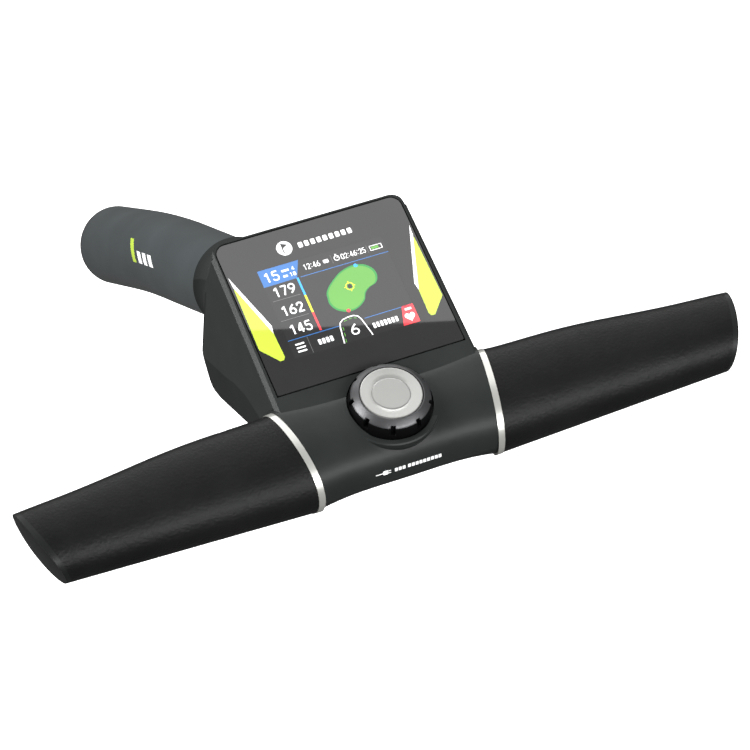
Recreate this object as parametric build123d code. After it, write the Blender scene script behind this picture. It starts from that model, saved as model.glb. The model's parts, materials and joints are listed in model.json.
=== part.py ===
from build123d import *
import os
from math import cos, pi, radians, sin, tan

# Handle of an electric golf trolley: a T-shaped handlebar with a display console,
# a speed dial and a hollow stem. All sizes are in millimetres.
#
# Everything is modelled about the centre of the display glass: +X to the golfer's
# right along the bar, +Y forward towards the stem, +Z up. The finished parts are
# then moved so that the origin is the centre of the stem socket's mouth.

# ---- display and console ----
DISPLAY_TILT = 22.6          # glass leans up away from the golfer
GLASS_WIDTH = 85.4
GLASS_HEIGHT = 73.1
GLASS_THICK = 1.8
GLASS_CORNER = 5.0
GLASS_GAP = 0.55             # shadow gap around the glass
TAPE_THICK = 0.5
RIM_RISE = 0.3               # the housing face stands this much above the glass
RIM_TOP = 1.3                # housing beyond the glass along its top edge
WINDOW_WIDTH = 72.0          # opening in the ledge under the glass
WINDOW_HEIGHT = 53.0
LEDGE_BOTTOM = -5.0
WALL = 2.5

SIDE_HALF_WIDTH = 45.8       # console half width at the level of the glass centre
SIDE_NARROWING = 0.032       # the console narrows towards its far end, per mm of Y
SIDE_DRAFT = 0.045           # and towards its belly, per mm of depth
SIDE_CHAMFER = 1.7
FAR_CORNER = 6.0             # rounding of the two edges at the console's far side

# ---- handlebar section: an egg whose long axis leans down towards the golfer ----
EGG_LEAN = 35.5
EGG_SKEW = 0.21
RING_STATION = 44.0
END_STATION = 158.0
RING_EGG = (-53.0, -33.7, 23.2, 14.5)       # centre Y, centre Z, half length, half thickness
END_EGG = (-57.3, -33.2, 16.6, 11.3)
WAIST = ((0, 2.3), (26, 2.1), (35, 1.3), (42, 0.35), (50, 0))   # X, inset of the middle part
GRIP_SWELL = ((36, 0.2), (63, -0.9), (90, 0.5), (117, 0.2), (144, 0), (171, 0))

# ---- cut planes across the bar ----
RING_INNER = 42.5            # X of each trim ring's inner face at RING_CANT_Y
RING_OUTER = 45.35
RING_CANT_Y = -60.0
RING_CANT = 0.196
END_POINT = (163.4, -44.1, -23.7)
END_CANT_Y = 0.26
END_CANT_Z = 0.24
END_CROWN_RADIUS = 110.0     # the end caps are slightly domed
GRIP_SKIN = 3.2
GRIP_FIT = 0.15              # between the grip's rubber and its core, and at the end cap's plug
CORE_WALL = 3.0
PLUG_DEPTH = 11.0
PLUG_WALL = 2.0
STUB_INSET = 5.6
STUB_START = 29.0
CAP_FACE = 2.0

# ---- dial ----
DIAL_CENTRE = (0, -52.9, -12.3)
DIAL_TILT = 11.2
KNOB_RADIUS = 17.5
CAP_RADIUS = 13.1
WELL_RADIUS = 18.3
BOSS_RADIUS = 20.8
BOSS_TOP = -8.3
BOSS_BEVEL = 0.5
BOSS_EDGE_LEVEL = -11.0      # below it the lip is undercut
BOSS_FOOT_RADIUS = 19.4
BOSS_FOOT_LEVEL = -16.0
WELL_FLOOR = -10.2
WELL_UNDER = -12.7
KNOB_BOTTOM = -9.6
SHAFT_RADIUS = 3.0
SHAFT_CLEARANCE = 0.05
KNOB_SLOTS = 9
SLOT_PHASE = 9.0             # angle of the first slot, degrees
SLOT_WIDTH = 1.5
SLOT_TOP = -1.6
SLOT_LENGTH = 4.6
SLOT_DEPTH = 0.9

# ---- stem ----
STEM_START = (43.4, -42.2)   # Y, Z of the tube's inner end
STEM_SLOPE = 30.2
STEM_STRAIGHT = 164.0
STEM_BEND = 4.2
STEM_BEND_LENGTH = 70.0
STEM_TAIL = 52.5
SLEEVE_RADIUS = 19.7         # at the collar; the sleeve flares slightly towards the mouth
MOUTH_RADIUS = 20.5
SLEEVE_START = 66.0          # along the stem from STEM_START
TUBE_RADIUS = 16.0
TUBE_WALL = 2.0
SOCKET_BORE = 11.0
SOCKET_DEPTH = 36.0
SOCKET_LENGTH = 49.0
SOCKET_FLANGE = 3.0
COLLAR_RADIUS = 21.6
COLLAR_END = 85.5
CLEARANCE = 0.2

# ---- charging port ----
USB_Y = -60.0
USB_SEAT = -47.0             # ceiling of the recess for the cover
USB_MOUTH = (13.6, 6.4)
USB_SHELL = (13.2, 6.0, 13.0)
COVER_SIZE = (22.0, 12.4)
COVER_HINGE = (-52.4, -47.9)

FAR = 400.0


def stem_direction(slope):
    return Vector(0, cos(radians(slope)), -sin(radians(slope)))


STEM_END_SLOPE = STEM_SLOPE + STEM_BEND
BEND_RADIUS = STEM_BEND_LENGTH / radians(STEM_BEND)
STEM_A = Vector(0, *STEM_START)
STEM_B = STEM_A + stem_direction(STEM_SLOPE) * STEM_STRAIGHT
BEND_CENTRE = STEM_B + Vector(0, -sin(radians(STEM_SLOPE)), -cos(radians(STEM_SLOPE))) * BEND_RADIUS
STEM_C = BEND_CENTRE + Vector(0, sin(radians(STEM_END_SLOPE)), cos(radians(STEM_END_SLOPE))) * BEND_RADIUS
STEM_END = STEM_C + stem_direction(STEM_END_SLOPE) * STEM_TAIL


def tilted_plane(origin, tilt):
    """A plane through origin, facing up and leaning back towards the golfer by tilt."""
    return Plane(origin=origin, x_dir=(1, 0, 0), z_dir=(0, -sin(radians(tilt)), cos(radians(tilt))))


DISPLAY = tilted_plane((0, 0, 0), DISPLAY_TILT)
DIAL = tilted_plane(DIAL_CENTRE, DIAL_TILT)
TAIL = Plane(origin=STEM_END, x_dir=(1, 0, 0), z_dir=stem_direction(STEM_END_SLOPE))
HEAD = Plane(origin=STEM_A, x_dir=(1, 0, 0), z_dir=stem_direction(STEM_SLOPE))


# ---- small building blocks ----

def plate(plane, size, low, high, corner=0.0, at=(0, 0)):
    outline = RectangleRounded(*size, corner) if corner else Rectangle(*size)
    return plane * Pos(at[0], at[1], low) * extrude(outline, high - low)


def disc(plane, radius, low, high, at=(0, 0), hole=0.0):
    solid = Cylinder(radius, high - low, align=(Align.CENTER, Align.CENTER, Align.MIN))
    if hole:
        solid -= Cylinder(hole, high - low, align=(Align.CENTER, Align.CENTER, Align.MIN))
    return plane * Pos(at[0], at[1], low) * solid


def beyond(origin, normal):
    """A block that fills the far side of the plane through origin."""
    return Plane(origin=origin, z_dir=normal) * Box(
        FAR, FAR, FAR, align=(Align.CENTER, Align.CENTER, Align.MIN))


def side_prism(points, half_width):
    """An outline in the YZ plane, extruded equally to both sides."""
    face = make_face(Polyline(*[(0, y, z) for y, z in points], close=True))
    return extrude(face, half_width, both=True)


def merged(solid, *others):
    for other in others:
        solid = solid + other
    return solid


def mirrored(solid):
    return mirror(solid, about=Plane.YZ)


# ---- the bar ----

def egg(x, shape, inset=0.0, swell=0.0, waist=0.0):
    """The bar's section at x; swell pushes its back and top edge out, waist draws in all but the top."""
    centre_y, centre_z, half_length, half_thick = shape
    lean = radians(EGG_LEAN)
    a = half_length - inset - waist + swell / 2
    b = half_thick - inset - waist / 2
    points = []
    steps = 18
    for i in range(steps):
        t = 2 * pi * i / steps
        u = a * cos(t) - swell / 2
        v = b * sin(t) * (1 + EGG_SKEW * cos(t)) + waist / 2
        points.append((x, centre_y - u * cos(lean) - v * sin(lean), centre_z - u * sin(lean) + v * cos(lean)))
    return make_face(Spline(*points, periodic=True))


def grip_shape(x):
    share = (x - RING_STATION) / (END_STATION - RING_STATION)
    return tuple(r + (e - r) * share for r, e in zip(RING_EGG, END_EGG))


def grip_bar(inset=0.0):
    """The right half of the bar from inside the console to past the end."""
    return loft([egg(x, grip_shape(x), inset, swell) for x, swell in GRIP_SWELL])


def middle_bar(inset=0.0):
    """The waisted middle of the bar, between and a little past the trim rings."""
    stations = [(-x, waist) for x, waist in reversed(WAIST) if x] + list(WAIST)
    return loft([egg(x, RING_EGG, inset, waist=waist) for x, waist in stations])


def past_ring(x):
    """Everything on the outer side of a canted plane at a trim ring."""
    return beyond((x, RING_CANT_Y, -34), (1, -RING_CANT, 0))


def past_end(step_back=0.0):
    x, y, z = END_POINT
    return beyond((x - step_back, y, z), (1, -END_CANT_Y, -END_CANT_Z))


# ---- the console housing ----

def console_profile(inset):
    """The console's side outline, from the far top edge round the belly to the deck."""
    top_far = DISPLAY.from_local_coords(Vector(0, GLASS_HEIGHT / 2 + RIM_TOP, RIM_RISE))
    top_near = DISPLAY.from_local_coords(Vector(0, -57, RIM_RISE - 0.6))
    outline = Polyline(
        (0, top_far.Y, top_far.Z), (0, 58.5, -66), (0, 49, -78.5), (0, 37, -75), (0, 2, -59),
        (0, -28, -49), (0, -48, -44), (0, -60, -34), (0, top_near.Y, top_near.Z), close=True)
    face = make_face(outline)
    rear_corners = face.vertices().filter_by(lambda v: v.Y > 30 and v.Z < 0)
    face = fillet(rear_corners, 7.0)
    if inset:
        face = offset(face, -inset)
    return face


def side_slab(inset):
    """The space between the console's two side walls, which narrow back and down."""
    sections = []
    for y in (-70, 70):
        half = SIDE_HALF_WIDTH - SIDE_NARROWING * y - inset
        top, bottom = 40, -100
        low_half = half + SIDE_DRAFT * bottom
        high_half = half + SIDE_DRAFT * top
        corners = [(-low_half, y, bottom), (low_half, y, bottom), (high_half, y, top), (-high_half, y, top)]
        sections.append(make_face(Polyline(*corners, close=True)))
    return loft(sections, ruled=True)


def far_corner_trim():
    """Rounds the console's far corner, most at the glass and fading with depth."""
    far = GLASS_HEIGHT / 2 + RIM_TOP
    centre = (SIDE_HALF_WIDTH - SIDE_NARROWING * far - FAR_CORNER, far - FAR_CORNER)
    corner = DISPLAY * Pos(*centre, -100) * Box(
        FAR_CORNER + 6, FAR_CORNER + 6, 110, align=(Align.MIN, Align.MIN, Align.MIN))
    return corner - disc(DISPLAY, FAR_CORNER, -100, 10, at=centre)


def console_block(inset=0.0):
    block = extrude(console_profile(inset), 60, both=True) & side_slab(inset)
    if not inset:
        deck = block.faces().sort_by(Axis.Z)[-1]
        rim = deck.edges().filter_by(lambda e: abs(e.center().X) > 30)
        block = chamfer(rim, SIDE_CHAMFER) - far_corner_trim() - mirrored(far_corner_trim())
    return block


# Stations of the neck: top (Y, Z), bottom (Y, Z), half width, squareness of the section.
NECK = (
    ((34, 9), (50, -73), 41.5, 0.45),
    ((64, -17), (65, -81), 35.5, 0.62),
    ((92, -42.5), (83, -90.5), 28.0, 0.85),
)


def neck_section(top, bottom, half_width, squareness, inset):
    points = []
    steps = 20
    middle = ((top[0] + bottom[0]) / 2, (top[1] + bottom[1]) / 2)
    reach = ((top[0] - bottom[0]) / 2, (top[1] - bottom[1]) / 2)
    height = (reach[0] ** 2 + reach[1] ** 2) ** 0.5
    for i in range(steps):
        t = 2 * pi * (i + 0.5) / steps
        c, s = cos(t), sin(t)
        across = (half_width - inset) * abs(c) ** squareness * (1 if c > 0 else -1)
        along = (1 - inset / height) * abs(s) ** squareness * (1 if s > 0 else -1)
        points.append((across, middle[0] + reach[0] * along, middle[1] + reach[1] * along))
    return make_face(Spline(*points, periodic=True))


def collar_section(distance, radius):
    centre = STEM_A + stem_direction(STEM_SLOPE) * distance
    up = Vector(0, sin(radians(STEM_SLOPE)), cos(radians(STEM_SLOPE))) * radius
    top, bottom = centre + up, centre - up
    return neck_section((top.Y, top.Z), (bottom.Y, bottom.Z), radius, 1.0, 0)


def neck_block(inset=0.0, collar_radius=COLLAR_RADIUS):
    sections = [neck_section(*station, inset) for station in NECK]
    sections.append(collar_section(SLEEVE_START + 8, collar_radius))
    sections.append(collar_section(COLLAR_END, collar_radius))
    return loft(sections)


def dial_boss():
    """The raised lip around the dial: bevelled at the top and undercut below."""
    profile = Polyline(
        (0, BOSS_FOOT_LEVEL), (BOSS_FOOT_RADIUS, BOSS_FOOT_LEVEL), (BOSS_RADIUS, BOSS_EDGE_LEVEL),
        (BOSS_RADIUS, BOSS_TOP - BOSS_BEVEL), (BOSS_RADIUS - BOSS_BEVEL, BOSS_TOP), (0, BOSS_TOP), close=True)
    return DIAL * revolve(Plane.XZ * make_face(profile), Axis.Z)


def housing_outer():
    body = console_block() + neck_block()
    body = body + middle_bar()
    body = body + dial_boss()
    return body - past_ring(RING_INNER) - mirrored(past_ring(RING_INNER))


def housing_cavity():
    space = console_block(WALL) + neck_block(WALL, SLEEVE_RADIUS - 0.6)
    space = space + middle_bar(WALL)
    return space


# The line where the two halves of the housing meet, as seen from the side (Y, Z).
PARTING = (
    (170, -106), (121, -79), (41.5, -16), (58, -67), (28, -54), (14, -46.5), (0, -41.5),
    (-15, -40), (-45, -41), (-62, -42.5), (-90, -42.5),
)

# Screws that close the housing from below: X, Y, level of the head's seat, level of the parting.
HOUSING_SCREWS = ((22.5, -60.5, -44.9, -42.4), (39.0, 4.0, -52.5, -43.0), (37.5, 38.0, -67.0, -58.5))
SCREW_RADIUS = 1.4
SCREW_HEAD = (2.8, 2.0)
SCREW_GRIP = 8.0
INSERT_LENGTH = 5.5
INSERT_RADIUS = 2.1
BOSS_POST = 3.7

# Screws that hold the grip cores: X, Y, level of the head's seat.
CORE_SCREW = (34.5, -52.0, -47.4)

BOARD_TOP = -13.0
BOARD_THICK = 1.6
BOARD_SIZE = (79.0, 54.0)
BOARD_POST = (38.0, 23.0)
LCD_EAR = (39.0, 12.0)


def below_parting():
    corners = list(PARTING) + [(-90, -150), (170, -150)]
    return side_prism(corners, 80)


def pillar(x, y, low, high, radius):
    return Pos(x, y, low) * Cylinder(radius, high - low, align=(Align.CENTER, Align.CENTER, Align.MIN))


def upright_edges(solid):
    """Edges square to the display glass, the ones nearest the golfer first."""
    return solid.edges().filter_by(Axis((0, 0, 0), DISPLAY.z_dir)).sort_by(Axis.Z)


def display_pocket():
    size = (GLASS_WIDTH + 2 * GLASS_GAP, GLASS_HEIGHT + 2 * GLASS_GAP)
    pocket = plate(DISPLAY, size, -GLASS_THICK - TAPE_THICK, 20)
    return fillet(upright_edges(pocket)[-2:], GLASS_CORNER + GLASS_GAP)


def clamp_posts(radius, low, high):
    """Posts square to the stem, at the four bolts of the stem clamp."""
    return [disc(STEM_NORMAL, radius, low, high, at=place) for place in CLAMP_BOLTS]


STEM_NORMAL = Plane(origin=STEM_A, x_dir=(1, 0, 0),
                    z_dir=(0, sin(radians(STEM_SLOPE)), cos(radians(STEM_SLOPE))))
CLAMP_BOLTS = ((19.8, 5.5), (-19.8, 5.5), (19.8, 18.5), (-19.8, 18.5))
BRACKET_SIZE = (47.0, 24.0)
BRACKET_TOP = 19.0


def upper_housing(outer, cavity, lower_side):
    shell = outer - cavity
    inside = []
    inside.append(plate(DISPLAY, (120, 100), LEDGE_BOTTOM, 0, at=(0, 13)) & outer)
    inside.append(disc(DIAL, WELL_RADIUS + 2.4, WELL_UNDER, 5) & outer)
    for x in (-BOARD_POST[0], BOARD_POST[0]):
        for y in (-BOARD_POST[1], BOARD_POST[1]):
            inside.append(disc(DISPLAY, 2.2, BOARD_TOP, LEDGE_BOTTOM + 0.5, at=(x, y)))
    for x, y, seat, level in HOUSING_SCREWS:
        post = pillar(x, y, level - 6, level + 16, BOSS_POST) & outer
        inside += [post, mirrored(post)]
    for post in clamp_posts(4.2, BRACKET_TOP, BRACKET_TOP + 40):
        inside.append(post & outer)
    shell = merged(shell, *inside) - lower_side
    cuts = [display_pocket(), plate(DISPLAY, (WINDOW_WIDTH, WINDOW_HEIGHT), -12, 5)]
    cuts.append(disc(DIAL, WELL_RADIUS, WELL_FLOOR, 30))
    cuts.append(disc(DIAL, 3.6, -30, 0))
    for x, y, seat, level in HOUSING_SCREWS:
        hole = pillar(x, y, level - 8, level + INSERT_LENGTH, INSERT_RADIUS)
        hole = hole + pillar(x, y, level, level + SCREW_GRIP + 2, SCREW_RADIUS + 0.15)
        cuts += [hole, mirrored(hole)]
    for x in (-BOARD_POST[0], BOARD_POST[0]):
        for y in (-BOARD_POST[1], BOARD_POST[1]):
            cuts.append(disc(DISPLAY, 1.0, BOARD_TOP - 1, BOARD_TOP + 6.2, at=(x, y)))
    for x in (-LCD_EAR[0], LCD_EAR[0]):
        for y in (-LCD_EAR[1], LCD_EAR[1]):
            cuts.append(disc(DISPLAY, 0.95, LEDGE_BOTTOM - 1, LEDGE_BOTTOM + 2.0, at=(x, y)))
    cuts += clamp_posts(1.75, BRACKET_TOP - 1, BRACKET_TOP + 7.5)
    cuts.append(stem_rod(SLEEVE_RADIUS + CLEARANCE, SLEEVE_START - 1))
    cuts += core_space()
    for cut in cuts:
        shell = shell - cut
    return shell


def core_space():
    """Room for the grip cores' stubs where they enter the housing."""
    stub = grip_stub(STUB_INSET - 0.4, STUB_START - 0.6)
    return [stub, mirrored(stub)]


def grip_stub(inset, start):
    """The part of a grip core that plugs into the housing."""
    return loft([egg(x, RING_EGG, inset) for x in (start, 58)])


def usb_bay():
    return plate(Plane.XY, (COVER_SIZE[0] + 6, COVER_SIZE[1] + 7), -60, USB_SEAT + 2.4, at=(0, USB_Y + 1.6))


def lower_housing(outer, cavity, lower_side):
    shell = outer - cavity
    inside = [usb_bay() & outer]
    for x, y, seat, level in HOUSING_SCREWS:
        post = pillar(x, y, seat - 12, level + 20, BOSS_POST) & outer
        inside += [post, mirrored(post)]
    core_post = pillar(CORE_SCREW[0], CORE_SCREW[1], -60, -44.0, BOSS_POST) & outer
    inside += [core_post, mirrored(core_post)]
    shell = merged(shell, *inside) & lower_side
    cuts = []
    for x, y, seat, level in HOUSING_SCREWS:
        hole = pillar(x, y, seat - 30, seat, SCREW_HEAD[0] + 0.3) + pillar(x, y, seat - 1, level + 30, 1.6)
        hole = hole + pillar(x, y, level - 1, level + 30, INSERT_RADIUS + CLEARANCE)
        cuts += [hole, mirrored(hole)]
    x, y, seat = CORE_SCREW
    hole = pillar(x, y, seat - 30, seat, SCREW_HEAD[0] + 0.3) + pillar(x, y, seat - 1, seat + 12, 1.6)
    cuts += [hole, mirrored(hole)]
    cuts.append(plate(Plane.XY, (COVER_SIZE[0] + 0.8, COVER_SIZE[1] + 0.8), -60, USB_SEAT,
                      corner=2.4, at=(0, USB_Y)))
    cuts.append(plate(Plane.XY, USB_MOUTH, -60, -30, at=(0, USB_Y)))
    cuts.append(hinge_channel())
    cuts.append(stem_rod(SLEEVE_RADIUS + CLEARANCE, SLEEVE_START - 1))
    cuts += core_space()
    for cut in cuts:
        shell = shell - cut
    return shell


# ---- charging port and its cover ----

HINGE_LINE = Plane(origin=(0, *COVER_HINGE), x_dir=(0, 1, 0), z_dir=(1, 0, 0))
BARREL_RADIUS = 1.5
BARREL_HALF = 7.0
PIN_RADIUS = 0.6
PIN_HALF = 10.0


def hinge_channel():
    """The slot for the cover's barrel, and the blind holes for its pin."""
    slot = disc(HINGE_LINE, BARREL_RADIUS + 0.3, -BARREL_HALF - 0.3, BARREL_HALF + 0.3)
    mouth = plate(Plane.XY, (2 * BARREL_HALF + 0.6, 2 * BARREL_RADIUS + 0.6), -60, COVER_HINGE[1],
                  at=(0, COVER_HINGE[0]))
    return slot + mouth + disc(HINGE_LINE, PIN_RADIUS, -PIN_HALF, PIN_HALF)


def usb_cover(outer):
    flap = plate(Plane.XY, COVER_SIZE, USB_SEAT - 12, USB_SEAT - 0.1, corner=2.0, at=(0, USB_Y))
    flap = flap & outer
    plug = plate(Plane.XY, (12.4, 5.2), USB_SEAT - 0.1, USB_SEAT + 1.5, corner=1.0, at=(0, USB_Y))
    barrel = disc(HINGE_LINE, BARREL_RADIUS, -BARREL_HALF, BARREL_HALF)
    bridge = plate(Plane.XY, (2 * BARREL_HALF, 3.2), USB_SEAT - 2.2, USB_SEAT - 0.3,
                   at=(0, COVER_HINGE[0] - 1.6))
    cover = flap + plug + barrel + bridge
    return cover - disc(HINGE_LINE, PIN_RADIUS + SHAFT_CLEARANCE, -BARREL_HALF - 1, BARREL_HALF + 1)


def usb_cover_pin():
    return disc(HINGE_LINE, PIN_RADIUS, -PIN_HALF, PIN_HALF)


def usb_socket():
    width, depth, length = USB_SHELL
    low = USB_SEAT + 2.6
    shell = plate(Plane.XY, (width, depth), low, low + length, corner=0.5, at=(0, USB_Y))
    return shell - plate(Plane.XY, (width - 0.7, depth - 0.7), low, low + length - 0.6, at=(0, USB_Y))


def usb_tongue():
    low = USB_SEAT + 3.2
    top = USB_SEAT + 2.6 + USB_SHELL[2] - 0.6
    tongue = plate(Plane.XY, (11.0, 1.8), low, top, at=(0, USB_Y + 1.2))
    return tongue + plate(Plane.XY, (12.2, 5.0), top - 2.5, top, at=(0, USB_Y))


def usb_board():
    low = USB_SEAT + 2.6 + USB_SHELL[2]
    return plate(Plane.XY, (16.0, 7.0), low, low + 1.2, at=(0, USB_Y - 0.4))


# ---- display stack ----

def display_lens():
    glass = plate(DISPLAY, (GLASS_WIDTH, GLASS_HEIGHT), -GLASS_THICK, 0)
    glass = fillet(upright_edges(glass)[-2:], GLASS_CORNER)
    return fillet(upright_edges(glass)[:2], 0.8)


def lens_tape():
    low, high = -GLASS_THICK - TAPE_THICK, -GLASS_THICK
    frame = plate(DISPLAY, (GLASS_WIDTH - 3, GLASS_HEIGHT - 3), low, high, corner=3.5)
    return frame - plate(DISPLAY, (WINDOW_WIDTH + 1, WINDOW_HEIGHT + 1), low, high)


def touch_panel():
    return plate(DISPLAY, (WINDOW_WIDTH - 1, WINDOW_HEIGHT - 1), -GLASS_THICK - 0.6, -GLASS_THICK)


def lcd_panel():
    return plate(DISPLAY, (68.0, 49.4), -4.1, -2.5)


def lcd_frame():
    tray = plate(DISPLAY, (70.4, 51.6), -6.4, -2.6, corner=1.0)
    tray -= plate(DISPLAY, (68.3, 49.7), -4.2, -2.6)
    for x in (-LCD_EAR[0], LCD_EAR[0]):
        for y in (-LCD_EAR[1], LCD_EAR[1]):
            tray += plate(DISPLAY, (7.0, 6.0), -6.0, LEDGE_BOTTOM, at=(x * 0.96, y))
            tray -= disc(DISPLAY, 1.1, -7, -4.5, at=(x, y))
    return tray


def lcd_screws():
    screws = []
    for x in (-LCD_EAR[0], LCD_EAR[0]):
        for y in (-LCD_EAR[1], LCD_EAR[1]):
            head = disc(DISPLAY, 1.7, -7.2, -6.0, at=(x, y))
            screws.append(head + disc(DISPLAY, 0.9, -6.0, -3.2, at=(x, y)))
    return Compound(children=screws)


def ribbon(points, width, x, radius=1.2, thick=0.3):
    """A flat flexible cable along points (Y, Z), lying across X."""
    path = FilletPolyline(*[(x, y, z) for y, z in points], radius=radius)
    start = Plane(origin=path @ 0, x_dir=(1, 0, 0), z_dir=path % 0)
    return sweep(start * Rectangle(width, thick), path=path)


def in_side_view(y, z):
    """Display coordinates (along the glass, out of the glass) as model Y and Z."""
    point = DISPLAY.from_local_coords(Vector(0, y, z))
    return (point.Y, point.Z)


def lcd_ribbon():
    route = [in_side_view(-25.9, -5.6), in_side_view(-30.5, -5.6), in_side_view(-30.5, -12.2),
             in_side_view(-26.2, -12.2)]
    return ribbon(route, 22.0, 0.0)


# ---- electronics ----

BOARD_BOTTOM = BOARD_TOP - BOARD_THICK


def main_board():
    board = plate(DISPLAY, BOARD_SIZE, BOARD_BOTTOM, BOARD_TOP, corner=2.0)
    for x in (-BOARD_POST[0], BOARD_POST[0]):
        for y in (-BOARD_POST[1], BOARD_POST[1]):
            board -= disc(DISPLAY, 1.2, BOARD_BOTTOM - 1, BOARD_TOP + 1, at=(x, y))
    return board


def board_screws():
    screws = []
    for x in (-BOARD_POST[0], BOARD_POST[0]):
        for y in (-BOARD_POST[1], BOARD_POST[1]):
            head = disc(DISPLAY, 2.1, BOARD_BOTTOM - 1.6, BOARD_BOTTOM, at=(x, y))
            screws.append(head + disc(DISPLAY, 0.95, BOARD_BOTTOM, BOARD_TOP + 5.5, at=(x, y)))
    return Compound(children=screws)


def board_chips():
    places = (((12, 12), (-9, -9)), ((9, 7), (14, -9)), ((6, 6), (26, 6)), ((5, 8), (-26, -12)))
    chips = [plate(DISPLAY, size, BOARD_BOTTOM - 1.2, BOARD_BOTTOM, at=at) for size, at in places]
    return Compound(children=chips)


def shield_can():
    can = plate(DISPLAY, (20, 14), BOARD_BOTTOM - 3.0, BOARD_BOTTOM, corner=0.8, at=(-24, 12))
    return can - plate(DISPLAY, (19.2, 13.2), BOARD_BOTTOM - 2.6, BOARD_BOTTOM, at=(-24, 12))


def gps_antenna():
    patch = plate(DISPLAY, (18, 18), BOARD_TOP, BOARD_TOP + 4.0, at=(0, 15))
    return patch + plate(DISPLAY, (14, 14), BOARD_TOP + 4.0, BOARD_TOP + 4.3, at=(0, 15))


def buzzer():
    can = disc(DISPLAY, 6.0, BOARD_BOTTOM - 5.5, BOARD_BOTTOM, at=(28, -14))
    return can - disc(DISPLAY, 1.0, BOARD_BOTTOM - 6, BOARD_BOTTOM - 3.5, at=(28, -14))


def ribbon_sockets():
    """Connectors on the main board for the three flat cables."""
    sockets = [plate(DISPLAY, (24, 4.2), BOARD_TOP, BOARD_TOP + 0.6, at=(0, -23.9))]
    sockets.append(plate(DISPLAY, (10, 4.0), BOARD_BOTTOM - 1.6, BOARD_BOTTOM, at=(-16, -22)))
    sockets.append(plate(DISPLAY, (8, 4.0), BOARD_BOTTOM - 1.6, BOARD_BOTTOM, at=(16, -22)))
    return Compound(children=sockets)


def dial_ribbon():
    start = in_side_view(-24.2, BOARD_BOTTOM - 0.9)
    route = [start, in_side_view(-28.5, BOARD_BOTTOM - 0.9), (-29.0, -33.6), (-39.0, -37.0)]
    return ribbon(route, 7.0, -6.0, radius=2.0)


def usb_ribbon():
    start = in_side_view(-24.2, BOARD_BOTTOM - 0.9)
    route = [start, in_side_view(-28.5, BOARD_BOTTOM - 0.9), (-30.0, -36.0), (-50.0, -40.0)]
    return ribbon(route, 5.0, 16.0, radius=2.0)


# ---- dial ----

def dial_knob():
    hub_bore = SHAFT_RADIUS + SHAFT_CLEARANCE / 2
    profile = Polyline(
        (CAP_RADIUS + 0.15, KNOB_BOTTOM + 6.6), (CAP_RADIUS + 0.15, -0.5), (CAP_RADIUS + 0.9, -0.25),
        (16.5, -2.1), (16.95, -2.9), (KNOB_RADIUS, -4.2), (KNOB_RADIUS, KNOB_BOTTOM),
        (15.3, KNOB_BOTTOM), (15.3, -4.6), (5.6, -4.6), (5.6, -6.4), (hub_bore, -6.4),
        (hub_bore, KNOB_BOTTOM + 6.6), close=True)
    knob = DIAL * revolve(Plane.XZ * make_face(profile), Axis.Z)
    for i in range(KNOB_SLOTS):
        turn = DIAL * Rot(0, 0, SLOT_PHASE + 360 / KNOB_SLOTS * i)
        knob -= turn * Pos(KNOB_RADIUS - SLOT_DEPTH, 0, SLOT_TOP) * Box(
            FAR, SLOT_WIDTH, SLOT_LENGTH, align=(Align.MIN, Align.CENTER, Align.MAX))
    return knob


def dial_cap():
    """A dished metal cap with a raised rim and a fluted floor."""
    profile = Polyline(
        (0, -3.0), (CAP_RADIUS, -3.0), (CAP_RADIUS, -0.35), (CAP_RADIUS - 0.35, 0),
        (CAP_RADIUS - 1.1, 0), (CAP_RADIUS - 3.6, -0.85), (8.6, -0.95), (0, -1.15), close=True)
    return DIAL * revolve(Plane.XZ * make_face(profile), Axis.Z)


def encoder_shaft():
    return disc(DIAL, SHAFT_RADIUS, -17.6, -3.0)


def switch_plunger():
    return disc(DIAL, 2.6, -18.4, -17.6) + disc(DIAL, 1.5, -20.9, -18.4)


def encoder_body():
    body = plate(DIAL, (12.4, 13.2), -19.9, WELL_UNDER, corner=0.8)
    body += disc(DIAL, 3.5, WELL_UNDER, -7.2)
    body -= disc(DIAL, 4.2, -19.2, -13.7)
    body -= disc(DIAL, SHAFT_RADIUS + SHAFT_CLEARANCE, -14, -7)
    body -= disc(DIAL, 1.55, -20, -19)
    for x in (-5.0, 5.0):
        for y in (-5.2, 0, 5.2):
            body += disc(DIAL, 0.4, -23.7, -19.9, at=(x, y))
    return body


def encoder_washer():
    return disc(DIAL, 6.0, WELL_FLOOR, WELL_FLOOR + 0.5, hole=3.55)


def encoder_nut():
    nut = DIAL * Pos(0, 0, WELL_FLOOR + 0.5) * extrude(RegularPolygon(5.0, 6, major_radius=False), 1.9)
    return nut - disc(DIAL, 3.5, WELL_FLOOR, WELL_FLOOR + 3)


def encoder_board():
    board = plate(DIAL, (17.0, 16.5), -23.0, -21.6, corner=1.0)
    for x in (-5.0, 5.0):
        for y in (-5.2, 0, 5.2):
            board -= disc(DIAL, 0.45, -24, -21, at=(x, y))
    return board


# ---- rings, grips, cores and end caps (right hand) ----

def trim_ring():
    ring = grip_bar(-0.25) - past_ring(RING_OUTER)
    ring = ring & past_ring(RING_INNER)
    return ring - grip_bar(GRIP_SKIN)


def grip():
    sleeve = (grip_bar() & past_ring(RING_OUTER)) - past_end(CAP_FACE)
    return sleeve - grip_bar(GRIP_SKIN)


def grip_core():
    core = (grip_bar(GRIP_SKIN + GRIP_FIT) & past_ring(RING_INNER)) - past_end(CAP_FACE)
    core -= grip_bar(GRIP_SKIN + CORE_WALL) & beyond((60, 0, 0), (1, 0, 0))
    core += grip_stub(STUB_INSET, STUB_START)
    x, y, seat = CORE_SCREW
    return core - pillar(x, y, seat - 2, seat + 10.2, SCREW_RADIUS + 0.02)


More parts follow.
